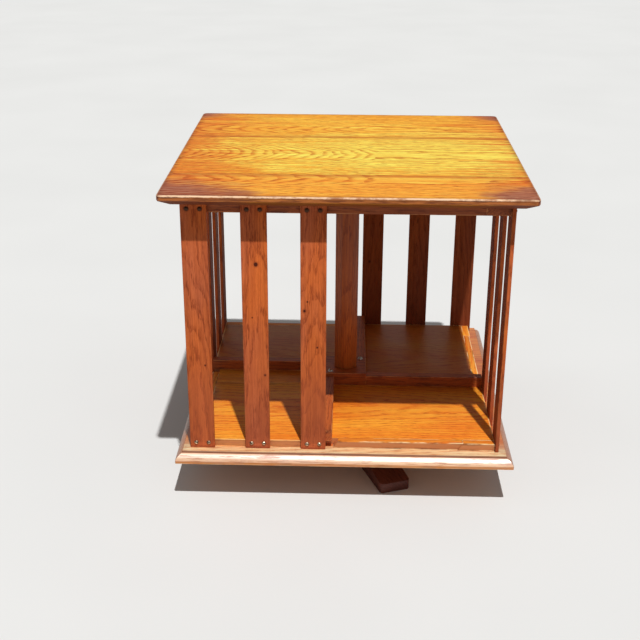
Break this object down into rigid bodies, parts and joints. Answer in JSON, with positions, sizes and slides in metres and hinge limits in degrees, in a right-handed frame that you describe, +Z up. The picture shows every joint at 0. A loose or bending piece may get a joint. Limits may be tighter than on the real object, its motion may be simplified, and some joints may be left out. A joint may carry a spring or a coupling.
{
  "type": "revolving desktop bookcase",
  "caption": "Square tabletop bookcase in oak with nailed slats and four open book bays in a pinwheel, which turns without limit on a hidden pivot over a crossed wooden foot.",
  "frame": {"origin": "on the table, straight under the pivot axis, at the middle of the bottom of the whole object's box", "axes": "+Z up along the pivot axis; the case's front side faces -Y and +X is to its right"},
  "size_m": [0.365, 0.365, 0.339],
  "materials": {
    "oak_top": "waxed golden oak, worn pale along the arrises",
    "oak_rails": "dark stained oak under the top",
    "oak_slats": "reddish brown varnished oak, grain upright",
    "oak_floor": "orange brown varnished oak",
    "oak_edging": "worn orange brown oak edging",
    "oak_base": "varnished orange brown oak, worn on the moulding",
    "oak_stops": "brown varnished oak",
    "oak_post": "brown varnished oak with a soft sheen",
    "oak_foot": "reddish brown varnished oak",
    "nail_steel": "worn round heads, dull",
    "screw_steel": "plain dull steel",
    "plate_iron": "black iron plate",
    "pivot_brass": "plain turned brass"
  },
  "bodies": {
    "stand": {"lower_foot_bar": "oak_foot", "upper_foot_bar": "oak_foot", "hub_block": "oak_foot", "hub_screws": "screw_steel", "lower_pivot_plate": "plate_iron", "lower_plate_screws": "screw_steel", "thrust_washer": "pivot_brass", "pivot_bolt": "screw_steel", "retaining_washer": "screw_steel", "retaining_nut": "screw_steel"},
    "case": {"top_board_front": "oak_top", "top_board_middle": "oak_top", "top_board_back": "oak_top", "top_rail_front": "oak_rails", "top_rail_right": "oak_rails", "top_rail_back": "oak_rails", "top_rail_left": "oak_rails", "slat_front_1": "oak_slats", "slat_front_2": "oak_slats", "slat_front_3": "oak_slats", "slat_right_1": "oak_slats", "slat_right_2": "oak_slats", "slat_right_3": "oak_slats", "slat_back_1": "oak_slats", "slat_back_2": "oak_slats", "slat_back_3": "oak_slats", "slat_left_1": "oak_slats", "slat_left_2": "oak_slats", "slat_left_3": "oak_slats", "slat_nails_front": "nail_steel", "slat_nails_right": "nail_steel", "slat_nails_back": "nail_steel", "slat_nails_left": "nail_steel", "floor_board_front": "oak_floor", "floor_board_back": "oak_floor", "edge_strip_front": "oak_edging", "edge_strip_right": "oak_edging", "edge_strip_back": "oak_edging", "edge_strip_left": "oak_edging", "corner_strip_front": "oak_edging", "corner_strip_right": "oak_edging", "corner_strip_back": "oak_edging", "corner_strip_left": "oak_edging", "base_board_front": "oak_base", "base_board_middle": "oak_base", "base_board_back": "oak_base", "book_stop_front": "oak_stops", "book_stop_right": "oak_stops", "book_stop_back": "oak_stops", "book_stop_left": "oak_stops", "post_block": "oak_stops", "centre_post": "oak_post", "post_block_screws": "screw_steel", "top_screws": "screw_steel", "base_screws": "screw_steel", "upper_pivot_plate": "plate_iron", "upper_plate_screws": "screw_steel", "pivot_bush": "pivot_brass"}
  },
  "joints": [
    {"name": "case_spin", "type": "hinge", "parent": "stand", "child": "case", "pos_m": [0, 0, 0.0425], "axis": [0, 0, 1], "continuous": true}
  ]
}
